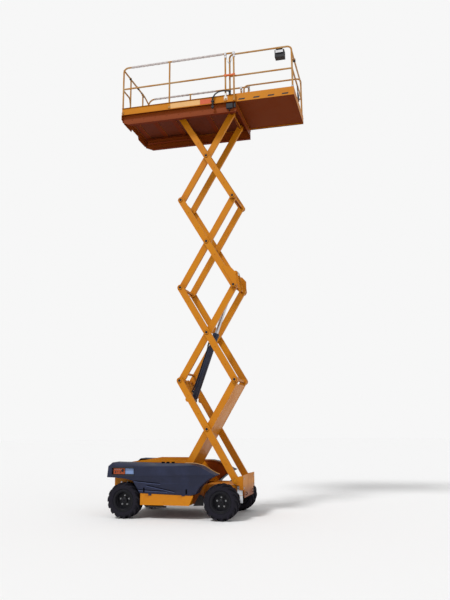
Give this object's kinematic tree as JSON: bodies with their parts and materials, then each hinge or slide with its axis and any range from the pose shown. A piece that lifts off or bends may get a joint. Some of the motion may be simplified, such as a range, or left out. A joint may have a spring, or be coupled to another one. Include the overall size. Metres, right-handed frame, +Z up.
{
  "type": "scissor lift",
  "caption": "Compact rough-terrain scissor lift, raised, with a roll-out deck, guardrails, moulded covers and four lug tyres.",
  "frame": {"origin": "centre of the outer box, on the ground plane under the tyres", "axes": "+X to the front of the machine, where the deck rolls out; +Y to its left side, across the narrowest extent; +Z up"},
  "size_m": [3.7583, 1.8, 9.273],
  "materials": {
    "orange_paint": "semi-gloss orange enamel",
    "cream_rail_paint": "pale orange-cream enamel",
    "slate_cover": "satin moulded slate grey",
    "black_paint": "satin black enamel",
    "engine_black": "dull black",
    "tyre_black": "matt black rubber",
    "bare_steel": "dull machined steel",
    "rod_chrome": "polished",
    "white_plate": "plain white enamel",
    "box_grey": "dark grey moulded",
    "conduit_black": "matt black corrugated"
  },
  "bodies": {
    "chassis": {"chassis_frame": "orange_paint", "side_tray_right": "orange_paint", "side_tray_left": "orange_paint", "front_axle": "black_paint", "rear_axle": "black_paint", "engine_block": "engine_black", "hydraulic_tank": "black_paint", "access_ladder": "black_paint", "label_bracket": "white_plate"},
    "right_cover": {"engine_cover_right": "slate_cover"},
    "left_cover": {"engine_cover_left": "slate_cover"},
    "right_knuckle": {"steering_knuckle_right": "black_paint"},
    "left_knuckle": {"steering_knuckle_left": "black_paint"},
    "steering_bar": {"steering_rod": "bare_steel"},
    "cylinder_barrel": {"lift_cylinder_barrel": "black_paint"},
    "cylinder_rod": {"lift_cylinder_rod": "rod_chrome"},
    "platform": {"platform_frame": "orange_paint", "platform_floor": "orange_paint", "guardrail_right": "cream_rail_paint", "guardrail_left": "cream_rail_paint", "cable_conduit": "conduit_black"},
    "gate": {"entry_gate": "cream_rail_paint"},
    "extension": {"extension_deck": "orange_paint", "extension_guardrail": "cream_rail_paint", "control_box": "box_grey"},
    "front_right_wheel": {"tyre_front_right": "tyre_black", "rim_front_right": "black_paint"},
    "front_left_wheel": {"tyre_front_left": "tyre_black", "rim_front_left": "black_paint"},
    "rear_right_wheel": {"tyre_rear_right": "tyre_black", "rim_rear_right": "black_paint"},
    "rear_left_wheel": {"tyre_rear_left": "tyre_black", "rim_rear_left": "black_paint"},
    "outer_arms_1": {"arms_outer_1": "orange_paint"},
    "inner_arms_1": {"arms_inner_1": "orange_paint", "track_roller_lower_right": "bare_steel", "track_roller_lower_left": "bare_steel"},
    "outer_arms_2": {"arms_outer_2": "orange_paint"},
    "inner_arms_2": {"arms_inner_2": "orange_paint"},
    "outer_arms_3": {"arms_outer_3": "orange_paint"},
    "inner_arms_3": {"arms_inner_3": "orange_paint"},
    "outer_arms_4": {"arms_outer_4": "orange_paint", "track_roller_upper_right": "bare_steel", "track_roller_upper_left": "bare_steel"},
    "inner_arms_4": {"arms_inner_4": "orange_paint"}
  },
  "joints": [
    {"name": "scissor_lift", "type": "hinge", "parent": "chassis", "child": "outer_arms_1", "pos_m": [0.51915, 0, 0.67], "axis": [0, 1, 0], "range_deg": [-55.57, 0]},
    {"name": "inner_arms_1_pivot", "type": "hinge", "parent": "outer_arms_1", "child": "inner_arms_1", "pos_m": [-0.02968, 0, 1.59434], "axis": [0, 1, 0], "range_deg": [0, 111.14]},
    {"name": "outer_arms_2_pivot", "type": "hinge", "parent": "inner_arms_1", "child": "outer_arms_2", "pos_m": [0.51915, 0, 2.51868], "axis": [0, 1, 0], "range_deg": [-111.14, 0]},
    {"name": "inner_arms_2_pivot", "type": "hinge", "parent": "outer_arms_2", "child": "inner_arms_2", "pos_m": [-0.02968, 0, 3.44302], "axis": [0, 1, 0], "range_deg": [0, 111.14]},
    {"name": "outer_arms_3_pivot", "type": "hinge", "parent": "inner_arms_2", "child": "outer_arms_3", "pos_m": [0.51915, 0, 4.36736], "axis": [0, 1, 0], "range_deg": [-111.14, 0]},
    {"name": "inner_arms_3_pivot", "type": "hinge", "parent": "outer_arms_3", "child": "inner_arms_3", "pos_m": [-0.02968, 0, 5.29171], "axis": [0, 1, 0], "range_deg": [0, 111.14]},
    {"name": "outer_arms_4_pivot", "type": "hinge", "parent": "inner_arms_3", "child": "outer_arms_4", "pos_m": [0.51915, 0, 6.21605], "axis": [0, 1, 0], "range_deg": [-111.14, 0]},
    {"name": "inner_arms_4_pivot", "type": "hinge", "parent": "outer_arms_4", "child": "inner_arms_4", "pos_m": [-0.02968, 0, 7.14039], "axis": [0, 1, 0], "range_deg": [0, 111.14]},
    {"name": "platform_level", "type": "hinge", "parent": "inner_arms_4", "child": "platform", "pos_m": [0.51915, 0, 8.06473], "axis": [0, 1, 0], "range_deg": [-55.58, 0]},
    {"name": "cylinder_swing", "type": "hinge", "parent": "outer_arms_1", "child": "cylinder_barrel", "pos_m": [-0.43, 0, 2.14516], "axis": [0, 1, 0], "range_deg": [0, 111.63]},
    {"name": "cylinder_stroke", "type": "slide", "parent": "cylinder_barrel", "child": "cylinder_rod", "axis": [0.3368, 0, 0.9416], "range_m": [-1.1805, 0]},
    {"name": "deck_extension", "type": "slide", "parent": "platform", "child": "extension", "axis": [1, 0, 0], "range_m": [-1.2, 0]},
    {"name": "entry_gate_lift", "type": "hinge", "parent": "platform", "child": "gate", "pos_m": [-1.80085, -0.31, 9.19973], "axis": [1, 0, 0], "range_deg": [0, 100]},
    {"name": "right_cover_open", "type": "hinge", "parent": "chassis", "child": "right_cover", "pos_m": [-0.60085, -0.8663, 0.425], "axis": [1, 0, 0], "range_deg": [0, 85]},
    {"name": "left_cover_open", "type": "hinge", "parent": "chassis", "child": "left_cover", "pos_m": [-0.60085, 0.8663, 0.425], "axis": [-1, 0, 0], "range_deg": [0, 85]},
    {"name": "steering", "type": "hinge", "parent": "chassis", "child": "right_knuckle", "pos_m": [0.32915, -0.56, 0.32], "axis": [0, 0, 1], "range_deg": [-28, 28]},
    {"name": "front_right_wheel_spin", "type": "hinge", "parent": "right_knuckle", "child": "front_right_wheel", "pos_m": [0.32915, -0.75, 0.32], "axis": [0, 1, 0], "continuous": true},
    {"name": "rear_right_wheel_spin", "type": "hinge", "parent": "chassis", "child": "rear_right_wheel", "pos_m": [-1.53085, -0.75, 0.32], "axis": [0, 1, 0], "continuous": true},
    {"name": "steering_left", "type": "hinge", "parent": "chassis", "child": "left_knuckle", "pos_m": [0.32915, 0.56, 0.32], "axis": [0, 0, 1], "range_deg": [-28, 28]},
    {"name": "front_left_wheel_spin", "type": "hinge", "parent": "left_knuckle", "child": "front_left_wheel", "pos_m": [0.32915, 0.75, 0.32], "axis": [0, 1, 0], "continuous": true},
    {"name": "rear_left_wheel_spin", "type": "hinge", "parent": "chassis", "child": "rear_left_wheel", "pos_m": [-1.53085, 0.75, 0.32], "axis": [0, 1, 0], "continuous": true},
    {"name": "steering_rod_shift", "type": "slide", "parent": "chassis", "child": "steering_bar", "axis": [0, 1, 0], "range_m": [-0.06852, 0.06852]}
  ],
  "couplings": [
    {"joint": "inner_arms_1_pivot", "follows": "scissor_lift", "ratio": -2},
    {"joint": "outer_arms_2_pivot", "follows": "scissor_lift", "ratio": 2},
    {"joint": "inner_arms_2_pivot", "follows": "scissor_lift", "ratio": -2},
    {"joint": "outer_arms_3_pivot", "follows": "scissor_lift", "ratio": 2},
    {"joint": "inner_arms_3_pivot", "follows": "scissor_lift", "ratio": -2},
    {"joint": "outer_arms_4_pivot", "follows": "scissor_lift", "ratio": 2},
    {"joint": "inner_arms_4_pivot", "follows": "scissor_lift", "ratio": -2},
    {"joint": "platform_level", "follows": "scissor_lift", "ratio": 1},
    {"joint": "cylinder_swing", "follows": "scissor_lift", "ratio": -2.0088},
    {"joint": "cylinder_stroke", "follows": "scissor_lift", "m_per_rad": 1.2167},
    {"joint": "steering_left", "follows": "steering", "ratio": 1},
    {"joint": "steering_rod_shift", "follows": "steering", "m_per_rad": -0.14}
  ]
}
